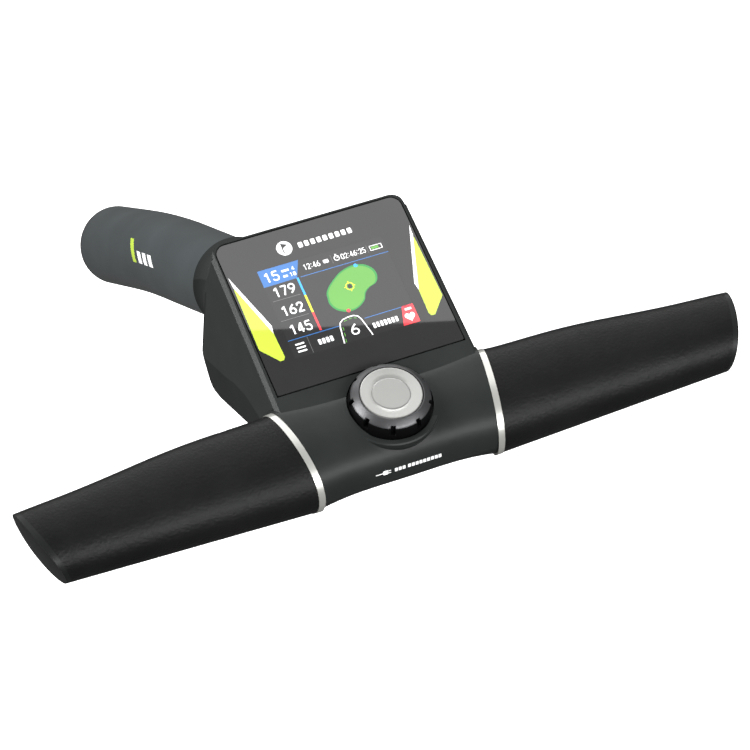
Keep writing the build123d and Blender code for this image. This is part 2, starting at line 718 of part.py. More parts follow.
def end_cap():
    x, y, z = END_POINT
    outward = Vector(1, -END_CANT_Y, -END_CANT_Z).normalized()
    rim_depth = END_CROWN_RADIUS - (END_CROWN_RADIUS ** 2 - END_EGG[2] ** 2) ** 0.5
    middle = Vector(x - END_CANT_Y * (y - END_EGG[0]) - END_CANT_Z * (z - END_EGG[1]), END_EGG[0], END_EGG[1])
    crown = Pos(*(middle - outward * (END_CROWN_RADIUS - rim_depth))) * Sphere(END_CROWN_RADIUS)
    face = grip_bar() & past_end(CAP_FACE) & crown
    plug = (grip_bar(GRIP_SKIN + CORE_WALL + GRIP_FIT) & past_end(PLUG_DEPTH)) - past_end(CAP_FACE)
    hollow = (grip_bar(GRIP_SKIN + CORE_WALL + PLUG_WALL) & past_end(PLUG_DEPTH + 1)) - past_end(CAP_FACE)
    return face + (plug - hollow)


# ---- screws ----

def screw(x, y, seat, length):
    head = pillar(x, y, seat - SCREW_HEAD[1], seat, SCREW_HEAD[0])
    head -= pillar(x, y, seat - SCREW_HEAD[1] - 0.1, seat - 0.8, 0.9)
    return head + pillar(x, y, seat, seat + length, SCREW_RADIUS)


def housing_screws():
    screws = []
    for x, y, seat, level in HOUSING_SCREWS:
        for side in (-1, 1):
            screws.append(screw(side * x, y, seat, level - seat + SCREW_GRIP))
    return Compound(children=screws)


def screw_inserts():
    """Brass inserts pressed into the upper housing's posts."""
    inserts = []
    for x, y, seat, level in HOUSING_SCREWS:
        for side in (-1, 1):
            ring = pillar(side * x, y, level + 0.4, level + INSERT_LENGTH, INSERT_RADIUS)
            inserts.append(ring - pillar(side * x, y, level, level + 6, SCREW_RADIUS + 0.02))
    return Compound(children=inserts)


def core_screws():
    x, y, seat = CORE_SCREW
    return Compound(children=[screw(side * x, y, seat, 10.0) for side in (-1, 1)])


# ---- stem ----

def stem_rod(radius, start=0.0, tail_cut=0.0):
    """A round rod along the stem's line, from start to tail_cut short of the mouth."""
    return disc(HEAD, radius, start, STEM_STRAIGHT) + stem_bend(radius, tail_cut)


def sleeve_outer():
    """The sleeve's outside: straight in the collar, then flaring a little to the bend."""
    flare = HEAD * Pos(0, 0, COLLAR_END) * Cone(
        SLEEVE_RADIUS, MOUTH_RADIUS, STEM_STRAIGHT - COLLAR_END, align=(Align.CENTER, Align.CENTER, Align.MIN))
    return disc(HEAD, SLEEVE_RADIUS, SLEEVE_START, COLLAR_END) + flare + stem_bend(MOUTH_RADIUS)


def stem_bend(radius, tail_cut=SOCKET_FLANGE):
    """The curved part of a round rod along the stem and the straight tail after it."""
    start = Plane(origin=STEM_B, x_dir=(1, 0, 0), z_dir=stem_direction(STEM_SLOPE))
    bend = revolve(start * Circle(radius), Axis(BEND_CENTRE, (1, 0, 0)), -STEM_BEND)
    return bend + disc(TAIL, radius, -STEM_TAIL, -tail_cut)


def stem_sleeve():
    sleeve = sleeve_outer()
    sleeve -= stem_rod(TUBE_RADIUS + CLEARANCE, SLEEVE_START - 5, 0)
    return sleeve - socket_screw_holes(2.1, 3.6)


def stem_tube():
    tube = stem_rod(TUBE_RADIUS, 0, SOCKET_FLANGE)
    tube -= stem_rod(TUBE_RADIUS - TUBE_WALL, -5, 0)
    return tube - socket_screw_holes(2.1, 2.1)


SOCKET_SCREWS = (-14.0, -32.0)
UNDERSIDE = Plane(origin=STEM_END, x_dir=(1, 0, 0),
                  z_dir=(0, -sin(radians(STEM_END_SLOPE)), -cos(radians(STEM_END_SLOPE))))


def under_disc(radius, distance, low, high):
    """A disc square to the stem's underside, at a distance along the stem from its mouth."""
    return disc(UNDERSIDE, radius, low, high, at=(0, -distance))


def socket_screw_holes(radius, head_radius):
    holes = [under_disc(radius, d, 10, 25) + under_disc(head_radius, d, MOUTH_RADIUS - 2.0, 25)
             for d in SOCKET_SCREWS]
    return merged(*holes)


def socket_screws():
    screws = []
    for d in SOCKET_SCREWS:
        head = under_disc(3.3, d, MOUTH_RADIUS - 2.0, MOUTH_RADIUS - 0.2)
        head -= under_disc(1.1, d, MOUTH_RADIUS - 1.3, MOUTH_RADIUS)
        screws.append(head + under_disc(1.9, d, SOCKET_BORE + 0.6, MOUTH_RADIUS - 2.0))
    return Compound(children=screws)


CONTACTS = 5
CONTACT_RADIUS = 9.0         # the contact block
CONTACT_CIRCLE = 5.0         # the circle its pins stand on
CONTACT_PIN = 6.0            # length of a pin


def stem_socket():
    """The insert that takes the trolley frame's spigot and holds the contact block."""
    socket = disc(TAIL, TUBE_RADIUS - TUBE_WALL - 0.05, -SOCKET_LENGTH, 0)
    socket += disc(TAIL, MOUTH_RADIUS, -SOCKET_FLANGE, 0)
    socket -= disc(TAIL, SOCKET_BORE, -SOCKET_DEPTH, 0)
    socket -= disc(TAIL, CONTACT_RADIUS + 0.05, -SOCKET_LENGTH, 0)
    for d in SOCKET_SCREWS:
        socket -= under_disc(1.92, d, SOCKET_BORE - 1, 20)
    return socket


def stem_contacts():
    """The block of contact pins that joins the handle to the trolley's loom."""
    block = disc(TAIL, CONTACT_RADIUS, -SOCKET_LENGTH - 2, -SOCKET_DEPTH - CONTACT_PIN)
    block += disc(TAIL, CONTACT_RADIUS - 2, -SOCKET_LENGTH - 5, -SOCKET_LENGTH - 2)
    for i in range(CONTACTS):
        angle = 2 * pi * i / CONTACTS
        pin = (CONTACT_CIRCLE * cos(angle), CONTACT_CIRCLE * sin(angle))
        block += disc(TAIL, 0.9, -SOCKET_DEPTH - CONTACT_PIN, -SOCKET_DEPTH, at=pin)
    return block


def bracket_half(low, high):
    block = plate(STEM_NORMAL, BRACKET_SIZE, low, high, corner=3.0, at=(0, BRACKET_SIZE[1] / 2))
    block -= disc(HEAD, TUBE_RADIUS + 0.03, -5, 60)
    for x, y in CLAMP_BOLTS:
        block -= disc(STEM_NORMAL, 1.9, low - 1, high + 1, at=(x, y))
    return block


def stem_bracket():
    return bracket_half(0.4, BRACKET_TOP)


def stem_clamp():
    return bracket_half(-BRACKET_TOP, -0.4)


def clamp_bolts():
    bolts = []
    for x, y in CLAMP_BOLTS:
        head = disc(STEM_NORMAL, 3.2, -BRACKET_TOP - 2.6, -BRACKET_TOP, at=(x, y))
        bolts.append(head + disc(STEM_NORMAL, 1.7, -BRACKET_TOP, BRACKET_TOP + 7, at=(x, y)))
    return Compound(children=bolts)


def harness():
    """The loom from the main board down the inside of the stem."""
    board_exit = in_side_view(6, BOARD_BOTTOM - 6)
    middle = in_side_view(6, BOARD_BOTTOM - 22)
    entry = STEM_A + stem_direction(STEM_SLOPE) * -4
    corner = STEM_B + stem_direction(STEM_SLOPE) * (BEND_RADIUS * tan(radians(STEM_BEND / 2)))
    finish = STEM_END - stem_direction(STEM_END_SLOPE) * (SOCKET_LENGTH + 5)
    path = FilletPolyline((0, *board_exit), (0, *middle), entry, corner, finish, radius=[9, 9, 300])
    start = Plane(origin=path @ 0, z_dir=path % 0)
    return sweep(start * Circle(2.4), path=path)


def harness_plug():
    return plate(DISPLAY, (14, 7), BOARD_BOTTOM - 6, BOARD_BOTTOM, corner=0.6, at=(0, 6))


# ---- assembly ----

def build():
    outer = housing_outer()
    cavity = housing_cavity()
    lower_side = below_parting()
    right = {"trim_ring": trim_ring(), "grip": grip(), "grip_core": grip_core(), "end_cap": end_cap()}
    parts = {
        "upper_housing": upper_housing(outer, cavity, lower_side),
        "lower_housing": lower_housing(outer, cavity, lower_side),
        "display_lens": display_lens(),
        "lens_tape": lens_tape(),
        "touch_panel": touch_panel(),
        "lcd_panel": lcd_panel(),
        "lcd_frame": lcd_frame(),
        "lcd_screws": lcd_screws(),
        "lcd_ribbon": lcd_ribbon(),
        "main_board": main_board(),
        "board_screws": board_screws(),
        "board_chips": board_chips(),
        "shield_can": shield_can(),
        "gps_antenna": gps_antenna(),
        "buzzer": buzzer(),
        "ribbon_sockets": ribbon_sockets(),
        "dial_ribbon": dial_ribbon(),
        "usb_ribbon": usb_ribbon(),
        "dial_knob": dial_knob(),
        "dial_cap": dial_cap(),
        "encoder_shaft": encoder_shaft(),
        "switch_plunger": switch_plunger(),
        "encoder_body": encoder_body(),
        "encoder_washer": encoder_washer(),
        "encoder_nut": encoder_nut(),
        "encoder_board": encoder_board(),
        "usb_cover": usb_cover(outer),
        "usb_cover_pin": usb_cover_pin(),
        "usb_socket": usb_socket(),
        "usb_tongue": usb_tongue(),
        "usb_board": usb_board(),
        "housing_screws": housing_screws(),
        "screw_inserts": screw_inserts(),
        "core_screws": core_screws(),
        "stem_sleeve": stem_sleeve(),
        "stem_tube": stem_tube(),
        "stem_socket": stem_socket(),
        "socket_screws": socket_screws(),
        "stem_contacts": stem_contacts(),
        "stem_bracket": stem_bracket(),
        "stem_clamp": stem_clamp(),
        "clamp_bolts": clamp_bolts(),
        "harness": harness(),
        "harness_plug": harness_plug(),
    }
    for name, solid in right.items():
        parts[name + "_right"] = solid
        parts[name + "_left"] = mirrored(solid)
    return parts


def main():
    os.makedirs("parts", exist_ok=True)
    for name, solid in build().items():
        export_step(Pos(-STEM_END.X, -STEM_END.Y, -STEM_END.Z) * solid, f"parts/{name}.step")


main()
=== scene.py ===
import json
from math import cos, pi, radians, sin

import bmesh
import bpy
from mathutils import Matrix, Vector
from mathutils.bvhtree import BVHTree


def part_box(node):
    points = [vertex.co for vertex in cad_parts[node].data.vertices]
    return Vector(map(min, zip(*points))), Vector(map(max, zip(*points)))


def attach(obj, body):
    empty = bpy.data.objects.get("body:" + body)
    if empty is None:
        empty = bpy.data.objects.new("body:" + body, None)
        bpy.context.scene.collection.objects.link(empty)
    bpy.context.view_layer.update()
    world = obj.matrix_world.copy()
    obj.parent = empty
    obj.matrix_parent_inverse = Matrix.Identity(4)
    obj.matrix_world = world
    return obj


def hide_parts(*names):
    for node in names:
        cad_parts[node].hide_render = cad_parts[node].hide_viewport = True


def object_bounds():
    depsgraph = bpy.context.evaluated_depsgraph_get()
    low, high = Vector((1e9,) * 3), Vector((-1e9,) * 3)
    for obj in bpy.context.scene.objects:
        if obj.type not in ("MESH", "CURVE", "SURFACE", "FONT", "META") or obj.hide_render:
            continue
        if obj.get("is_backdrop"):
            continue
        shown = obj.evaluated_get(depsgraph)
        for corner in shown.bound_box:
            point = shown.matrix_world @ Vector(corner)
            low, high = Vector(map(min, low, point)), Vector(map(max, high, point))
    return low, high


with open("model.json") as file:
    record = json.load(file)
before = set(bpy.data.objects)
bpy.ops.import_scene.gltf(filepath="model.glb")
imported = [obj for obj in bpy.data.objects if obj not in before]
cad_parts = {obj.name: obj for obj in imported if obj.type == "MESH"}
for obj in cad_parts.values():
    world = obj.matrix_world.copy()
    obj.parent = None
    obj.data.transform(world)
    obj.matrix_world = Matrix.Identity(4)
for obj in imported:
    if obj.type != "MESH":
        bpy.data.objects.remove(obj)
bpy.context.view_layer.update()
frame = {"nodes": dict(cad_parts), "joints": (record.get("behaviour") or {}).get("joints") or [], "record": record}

# Looks of the handle of an electric golf trolley. Lengths are in millimetres and
# are multiplied by MM, apart from the studio's, which are in metres. Angles are in
# degrees.
MM = 0.001

DISPLAY_TILT = 22.6
GLASS_HALF_WIDTH = 42.7
GLASS_HALF_HEIGHT = 36.55
GLASS_THICK = 1.8
GLASS_CORNER = 5.0           # radius at the two far corners
GLASS_NEAR_CORNER = 0.8      # radius at the two corners nearest the golfer
GLASS_BEVEL = 0.22

DIAL_TILT = 11.2
CAP_RADIUS = 13.1
DISC_RADIUS = 8.2            # the flat middle of the cap
KNOB_RADIUS = 17.5
KNOB_BORE = 13.25
KNOB_SLOTS = 9
SLOT_PHASE = 9.0             # angle of the first slot


# ---- frames of reference ----

def tilted(origin, tilt):
    """A frame whose X runs along the bar and whose Z leans back towards the golfer."""
    return Matrix.Translation(origin) @ Matrix.Rotation(radians(tilt), 4, "X")


def glass_frame():
    low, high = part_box("display_lens")
    middle = (low + high) / 2
    return tilted(middle, DISPLAY_TILT) @ Matrix.Translation((0, 0, GLASS_THICK / 2 * MM))


def dial_frame():
    joint = next(j for j in frame["joints"] if j["name"] == "dial_turn")
    return tilted(Vector(joint["pos_m"]), DIAL_TILT)


GLASS = glass_frame()
DIAL = dial_frame()


# ---- materials ----

CLOUD_SCALE = 45             # of the slow colour clouds, per metre
GLOSS_SPREAD = 0.08          # how far the roughness strays from its mean
NOISE_LOW, NOISE_HIGH = 0.3, 0.7


def link_noise(tree, place, scale, detail, roughness=0.55):
    """Adds a noise to a material and returns its value."""
    noise = tree.nodes.new("ShaderNodeTexNoise")
    noise.inputs["Scale"].default_value = scale
    noise.inputs["Detail"].default_value = detail
    noise.inputs["Roughness"].default_value = roughness
    tree.links.new(place, noise.inputs["Vector"])
    return noise.outputs["Fac"]


def mapped(tree, value, low, high):
    """Spreads the middle of a noise's values over the range from low to high."""
    node = tree.nodes.new("ShaderNodeMapRange")
    node.inputs["From Min"].default_value = NOISE_LOW
    node.inputs["From Max"].default_value = NOISE_HIGH
    node.inputs["To Min"].default_value = low
    node.inputs["To Max"].default_value = high
    tree.links.new(value, node.inputs["Value"])
    return node.outputs["Result"]


def surface(name, colour, roughness, metallic=0.0, specular=0.5, grain=2600, relief=0.02,
            mottle=0.12, emission=0.0):
    """A procedural finish: mottled colour, uneven gloss and a fine grain in relief (mm)."""
    material = bpy.data.materials.new(name)
    material.use_nodes = True
    tree = material.node_tree
    shader = tree.nodes["Principled BSDF"]
    place = tree.nodes.new("ShaderNodeTexCoord").outputs["Object"]
    cloud = link_noise(tree, place, CLOUD_SCALE, 4)
    grains = link_noise(tree, place, grain, 3)
    mix = tree.nodes.new("ShaderNodeMix")
    mix.data_type = "RGBA"
    mix.inputs[6].default_value = (*[c * (1 - mottle) for c in colour], 1)
    mix.inputs[7].default_value = (*[min(1, c * (1 + mottle)) for c in colour], 1)
    tree.links.new(mapped(tree, cloud, 0, 1), mix.inputs["Factor"])
    tree.links.new(mix.outputs[2], shader.inputs["Base Color"])
    gloss = mapped(tree, grains, roughness * (1 - GLOSS_SPREAD), min(1, roughness * (1 + GLOSS_SPREAD)))
    tree.links.new(gloss, shader.inputs["Roughness"])
    bump = tree.nodes.new("ShaderNodeBump")
    bump.inputs["Strength"].default_value = 1.0
    bump.inputs["Distance"].default_value = relief * MM
    tree.links.new(grains, bump.inputs["Height"])
    tree.links.new(bump.outputs["Normal"], shader.inputs["Normal"])
    shader.inputs["Metallic"].default_value = metallic
    shader.inputs["Specular IOR Level"].default_value = specular
    if emission:
        tree.links.new(mix.outputs[2], shader.inputs["Emission Color"])
        shader.inputs["Emission Strength"].default_value = emission
    return material


def housing_plastic():
    return surface("housing_plastic", (0.0145, 0.0163, 0.0157), 0.36, specular=0.085, relief=0.012)


# Painted shade: a darker copy of the housing plastic for the lower housing's belly, which tilts under, away from
# the light.
def belly_painted_shade():
    return surface("belly_painted_shade", (0.0085, 0.0095, 0.0092), 0.42, specular=0.1, relief=0.012)


def stem_plastic():
    return surface("stem_plastic", (0.034, 0.04, 0.042), 0.33, specular=0.55, grain=2200, relief=0.01)


def grip_rubber():
    return surface("grip_rubber", (0.0055, 0.0058, 0.0056), 0.41, specular=0.09, grain=850, relief=0.24,
                   mottle=0.2)


def cap_plastic():
    return surface("cap_plastic", (0.009, 0.0095, 0.0094), 0.38, specular=0.1, relief=0.01)


def core_plastic():
    return surface("core_plastic", (0.03, 0.03, 0.032), 0.5)


def trim_metal():
    return surface("trim_metal", (0.44, 0.44, 0.415), 0.3, metallic=0.6, grain=3800, relief=0.006,
                   mottle=0.04)


def knob_plastic():
    return surface("knob_plastic", (0.0022, 0.0022, 0.0024), 0.4, specular=0.05, grain=3200, relief=0.008)


def display_glass():
    return surface("display_glass", (0.017, 0.017, 0.017), 0.015, specular=0.7, grain=120, relief=0.0002,
                   mottle=0.06)


def seal_rubber():
    return surface("seal_rubber", (0.016, 0.016, 0.017), 0.62, grain=1500, relief=0.03)


def steel():
    return surface("steel", (0.45, 0.45, 0.46), 0.32, metallic=1.0, grain=3000, relief=0.008)


def brass():
    return surface("brass", (0.68, 0.48, 0.2), 0.34, metallic=1.0, grain=2600, relief=0.008)


def tube_aluminium():
    return surface("tube_aluminium", (0.62, 0.63, 0.64), 0.36, metallic=1.0, grain=2000, relief=0.01)


def bracket_alloy():
    return surface("bracket_alloy", (0.5, 0.5, 0.51), 0.5, metallic=1.0, grain=1400, relief=0.03)


def circuit_board():
    return surface("circuit_board", (0.02, 0.12, 0.05), 0.4, grain=1600, relief=0.01, mottle=0.2)


def chip_plastic():
    return surface("chip_plastic", (0.015, 0.015, 0.016), 0.55, grain=2400, relief=0.01)


def connector_plastic():
    return surface("connector_plastic", (0.75, 0.73, 0.66), 0.45, grain=2000, relief=0.01, mottle=0.05)


def ceramic():
    return surface("ceramic", (0.7, 0.66, 0.56), 0.5, grain=1500, relief=0.01, mottle=0.06)


def flex_cable():
    return surface("flex_cable", (0.45, 0.2, 0.05), 0.3, grain=900, relief=0.005)


def cable_jacket():
    return surface("cable_jacket", (0.02, 0.02, 0.02), 0.45, grain=1800, relief=0.02)


def tape():
    return surface("tape", (0.03, 0.03, 0.03), 0.75, grain=1200, relief=0.03)


def dial_metal():
    return lathed_metal("dial_metal", 0.2)


RING_SCALE = 900             # of the rings left by the lathe, per metre
RING_WANDER = 0.6
RING_DEPTH = 0.004
WARMTH = 0.965               # blue against red and green


def lathed_metal(name, grey):
    """Silver turned on a lathe: fine rings about the dial's own axis."""
    material = surface(name, (grey, grey, grey * WARMTH), 0.22, metallic=0.4, grain=3600,
                       relief=RING_DEPTH, mottle=0.03)
    tree = material.node_tree
    shader = tree.nodes["Principled BSDF"]
    place = next(n for n in tree.nodes if n.type == "TEX_COORD")
    rings = tree.nodes.new("ShaderNodeTexWave")
    rings.wave_type = "RINGS"
    rings.rings_direction = "Z"
    rings.inputs["Scale"].default_value = RING_SCALE
    rings.inputs["Distortion"].default_value = RING_WANDER
    tree.links.new(place.outputs["Object"], rings.inputs["Vector"])
    bump = tree.nodes.new("ShaderNodeBump")
    bump.inputs["Distance"].default_value = RING_DEPTH * MM
    tree.links.new(rings.outputs["Fac"], bump.inputs["Height"])
    tree.links.new(bump.outputs["Normal"], shader.inputs["Normal"])
    return material


def printed(name, colour, backlight_and_painted_glow=0.0):
    """Ink or lit pixels seen through the polished glass; the screen's lit pixels glow from its backlight, while a
    glow on printed ink is painted glow.
    """
    return surface(name, colour, 0.015, specular=0.7, grain=5200, relief=0.0001, mottle=0.03, emission=backlight_and_painted_glow)


SLOT_MATERIALS = {make.__name__: make() for make in (
    housing_plastic, stem_plastic, grip_rubber, cap_plastic, core_plastic, trim_metal, dial_metal,
    knob_plastic, display_glass, seal_rubber, steel, brass, tube_aluminium, bracket_alloy, circuit_board,
    chip_plastic, connector_plastic, ceramic, flex_cable, cable_jacket, tape)}

# Colour of each ink or lit pixel, and its glow: backlight for the screen's lit pixels, painted glow where the
# white and lime inks are printed on the glass, the nose and the stem.
INK = {
    # White: backlight on the screen's figures, painted glow on the marks printed off the screen.
    "white": printed("ink_white", (0.72, 0.72, 0.72), 0.25),
    "grey": printed("ink_grey", (0.09, 0.09, 0.09)),
    "black": printed("ink_black", (0.01, 0.01, 0.01)),
    "screen": printed("ink_screen", (0.02, 0.02, 0.0205)),
    "blue": printed("ink_blue", (0.03, 0.12, 0.33), 0.16),
    "sky": printed("ink_sky", (0.03, 0.3, 0.75), 0.2),
    "green": printed("ink_green", (0.09, 0.27, 0.045), 0.08),
    "leaf": printed("ink_leaf", (0.02, 0.2, 0.04), 0.15),
    "yellow": printed("ink_yellow", (0.62, 0.67, 0.03), 0.17),
    # Lime: painted glow on the printed flashes and the stem's tile.
    "lime": printed("ink_lime", (0.37, 0.5, 0.045), 0.06),
    "red": printed("ink_red", (0.7, 0.04, 0.05), 0.2),
}


def dress_nodes():
    """Gives each CAD node its slot's finish; the lower housing gets a darker copy of the housing plastic, painted
    shade for its belly that tilts away from the light.
    """
    for part in frame["record"]["subparts"]:
        mesh = frame["nodes"][part["node"]].data
        mesh.materials.clear()
        mesh.materials.append(SLOT_MATERIALS[part["material_slot"]])
    # Painted shade on the lower housing.
    frame["nodes"]["lower_housing"].data.materials[0] = belly_painted_shade()


# ---- mesh building blocks ----

def new_object(name, bm, place, material, body="console", smooth=None):
    mesh = bpy.data.meshes.new(name)
    bmesh.ops.recalc_face_normals(bm, faces=bm.faces)
    bm.to_mesh(mesh)
    bm.free()
    mesh.materials.append(material)
    if smooth is not None:
        mesh.shade_smooth()
        mesh.set_sharp_from_angle(angle=radians(smooth))
    obj = bpy.data.objects.new(name, mesh)
    bpy.context.scene.collection.objects.link(obj)
    obj.matrix_world = place
    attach(obj, body)
    return obj


def circle(at, radius, steps=40):
    """A round outline; corners run anticlockwise."""
    return [(at[0] + radius * cos(2 * pi * i / steps), at[1] + radius * sin(2 * pi * i / steps))
            for i in range(steps)]


def rounded(corners, radii, steps=6):
    """A polygon with its corners rounded; corners run anticlockwise."""
    outline = []
    count = len(corners)
    for i, corner in enumerate(corners):
        here = Vector(corner)
        before = (Vector(corners[i - 1]) - here).normalized()
        after = (Vector(corners[(i + 1) % count]) - here).normalized()
        half = before.angle(after) / 2
        radius = radii[i] if isinstance(radii, (list, tuple)) else radii
        reach = radius / max(1e-6, sin(half)) * cos(half)
        start, end = here + before * reach, here + after * reach
        for step in range(steps + 1):
            t = step / steps
            outline.append(tuple((1 - t) ** 2 * start + 2 * t * (1 - t) * here + t * t * end))
    return outline


def bar(low, high, radius=0.0):
    """A rectangle between two opposite corners, which radius may round."""
    corners = [(low[0], low[1]), (high[0], low[1]), (high[0], high[1]), (low[0], high[1])]
    return rounded(corners, radius) if radius else corners


def stroke(points, width):
    """The outline of a line of even width drawn through points."""
    left, right = [], []
    for i, point in enumerate(points):
        here = Vector(point)
        ahead = Vector(points[min(i + 1, len(points) - 1)])
        behind = Vector(points[max(i - 1, 0)])
        along = (ahead - behind).normalized()
        side = Vector((-along.y, along.x)) * width / 2
        left.append(tuple(here + side))
        right.append(tuple(here - side))
    return left + right[::-1]


def smooth_loop(points, steps=6):
    """A closed curve through points."""
    count = len(points)
    outline = []
    for i in range(count):
        a, b, c, d = [Vector(points[(i + k) % count]) for k in (-1, 0, 1, 2)]
        for step in range(steps):
            t = step / steps
            outline.append(tuple(0.5 * (2 * b + (c - a) * t + (2 * a - 5 * b + 4 * c - d) * t * t
                                        + (3 * b - a - 3 * c + d) * t ** 3)))
    return outline


def add_slab(bm, outline, low, high):
    """Adds a flat solid with the given outline between two heights."""
    bottom = [bm.verts.new((x * MM, y * MM, low * MM)) for x, y in outline]
    top = [bm.verts.new((x * MM, y * MM, high * MM)) for x, y in outline]
    count = len(outline)
    bm.faces.new(bottom[::-1])
    bm.faces.new(top)
    for i in range(count):
        j = (i + 1) % count
        bm.faces.new((bottom[i], bottom[j], top[j], top[i]))


PRINT_FLOOR = 0.002          # gap between the glass and the lowest print
PRINT_THICK = 0.012          # of each layer


def print_on_glass(name, outlines, ink, layer=1):
    """Thin flat shapes on the glass; higher layers lie over lower ones."""
    bm = bmesh.new()
    for outline in outlines:
        add_slab(bm, outline, PRINT_FLOOR, PRINT_THICK * layer)
    return new_object(name, bm, GLASS, INK[ink])


# Strokes of the figures in a box one unit high, half a unit wide.
BOWL = [(0.25, 0), (0.42, 0.06), (0.5, 0.22), (0.5, 0.34), (0.42, 0.5), (0.25, 0.56), (0.08, 0.5),
        (0, 0.34), (0, 0.22), (0.08, 0.06)]
CLOSED_BOWL = BOWL + BOWL[:1]
FIGURES = {
    "0": [[(0.25, 0), (0.42, 0.06), (0.5, 0.25), (0.5, 0.75), (0.42, 0.94), (0.25, 1), (0.08, 0.94),
           (0, 0.75), (0, 0.25), (0.08, 0.06), (0.25, 0)]],
    "1": [[(0.08, 0.76), (0.3, 1)], [(0.3, 1.04), (0.3, -0.04)]],
    "2": [[(0.02, 0.72), (0.06, 0.92), (0.25, 1), (0.44, 0.92), (0.49, 0.74), (0.42, 0.54), (0.04, 0.02)],
          [(0, 0), (0.52, 0)]],
    "4": [[(0.36, 1.04), (0.36, -0.04)], [(0.33, 1), (0.02, 0.26)], [(0, 0.26), (0.54, 0.26)]],
    "5": [[(0.48, 1), (0.08, 1)], [(0.07, 1), (0.04, 0.56)],
          [(0.04, 0.56), (0.24, 0.62), (0.42, 0.54), (0.5, 0.34), (0.5, 0.24), (0.42, 0.06), (0.24, 0),
           (0.06, 0.06), (0, 0.2)]],
    "6": [CLOSED_BOWL, [(0.42, 1), (0.16, 0.72), (0.02, 0.46), (0, 0.3)]],
    "7": [[(0, 1), (0.5, 1)], [(0.48, 1), (0.16, -0.04)]],
    "8": [CLOSED_BOWL,
          [(0.25, 1), (0.42, 0.95), (0.48, 0.78), (0.42, 0.6), (0.25, 0.56), (0.08, 0.6), (0.02, 0.78),
           (0.08, 0.95), (0.25, 1)]],
    "9": [[(0.5 - x, 1 - y) for x, y in CLOSED_BOWL], [(0.08, 0), (0.34, 0.28), (0.48, 0.54), (0.5, 0.7)]],
    ":": [[(0.1, 0.14), (0.1, 0.3)], [(0.1, 0.7), (0.1, 0.86)]],
}
FIGURE_WIDTH = 0.5
FIGURE_PITCH = 0.72
COLON_PITCH = 0.42


def digits(name, text, low, high, ink="white", layer=2, weight=0.17):
    """Figures drawn with strokes to fill the box from low to high on the glass."""
    pens = []
    cursor = 0.0
    for sign in text:
        pens.append(cursor)
        cursor += COLON_PITCH if sign == ":" else FIGURE_PITCH
    total = cursor - (FIGURE_PITCH - FIGURE_WIDTH)
    height = high[1] - low[1]
    across = (high[0] - low[0]) / total
    outlines = []
    for sign, pen in zip(text, pens):
        for line in FIGURES[sign]:
            points = [(low[0] + (pen + x) * across, low[1] + y * height) for x, y in line]
            outlines.append(stroke(points, weight * height))
    return print_on_glass(name, outlines, ink, layer)


# ---- the display ----

def display_lens():
    corners = bar((-GLASS_HALF_WIDTH, -GLASS_HALF_HEIGHT), (GLASS_HALF_WIDTH, GLASS_HALF_HEIGHT))
    radii = [GLASS_NEAR_CORNER, GLASS_NEAR_CORNER, GLASS_CORNER, GLASS_CORNER]
    outline = rounded(corners, radii, steps=10)
    bm = bmesh.new()
    add_slab(bm, outline, -GLASS_THICK, 0)
    top_edges = [e for e in bm.edges if all(v.co.z > -0.1 * MM for v in e.verts)]
    bmesh.ops.bevel(bm, geom=top_edges, offset=GLASS_BEVEL * MM, segments=3, affect="EDGES")
    lens = new_object("lens", bm, GLASS, SLOT_MATERIALS["display_glass"], smooth=25)
    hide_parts("display_lens")


def side_flashes():
    """The printed flashes down both sides of the glass."""
    lime = [(41.7, 16.6), (33.5, -8.9), (33.1, -20.4), (33.9, -21.8), (35.6, -21.9), (42.2, -14.4),
            (42.2, -13.0)]
    white = [(42.0, 21.4), (32.9, -5.4), (33.5, -8.9), (41.7, 16.6)]
    for side, name in ((1, "right"), (-1, "left")):
        lime_shape = [(side * x, y) for x, y in lime][::-side]
        white_shape = [(side * x, y) for x, y in white][::-side]
        # The lime and white inks' glow on these printed flashes is painted glow.
        print_on_glass("flash_yellow_" + name, [rounded(lime_shape, 0.35, steps=3)], "lime")
        print_on_glass("flash_white_" + name, [white_shape], "white")


def maker_mark():
    """A plain flag badge and a row of blank tiles where a name would stand."""
    # The white ink's glow on the badge and its tiles is painted glow.
    print_on_glass("badge", [circle((-13.85, 27.4), 3.45)], "white")
    flag = [[(-14.9, 25.2), (-14.4, 25.2), (-14.4, 29.9), (-14.9, 29.9)],
            [(-14.4, 27.6), (-11.9, 28.7), (-14.4, 29.9)]]
    print_on_glass("badge_flag", flag, "black", layer=2)
    tiles = [bar((-7.6 + 2.85 * i, 25.6), (-5.7 + 2.85 * i, 28.2), 0.5) for i in range(9)]
    print_on_glass("name_tiles", tiles, "white")


def screen_page():
    """The display's lit area and the box with the hole's number in its far left corner."""
    print_on_glass("screen", [bar((-29.3, -22.75), (28.4, 20.45))], "screen", layer=0.5)
    edges = [stroke([(-29.2, 20.5), (28.5, 20.5)], 0.2), stroke([(28.4, 20.4), (28.4, -22.7)], 0.2)]
    print_on_glass("screen_edges", edges, "black")
    hole = [(-29.2, 20.4), (-29.2, 12.3), (-14.0, 12.5), (-10.4, 20.4)]
    print_on_glass("hole_box", [hole], "blue")
    digits("hole_number", "15", (-27.4, 14.2), (-21.2, 18.4))
    lines = [bar((-19.3, 16.9), (-15.9, 17.9), 0.3), bar((-19.4, 14.3), (-17.3, 15.3), 0.3)]
    print_on_glass("hole_lines", lines, "white", layer=2)
    digits("hole_par", "4", (-14.6, 16.7), (-13.5, 18.3))
    digits("hole_index", "18", (-16.3, 14.1), (-13.7, 15.7))


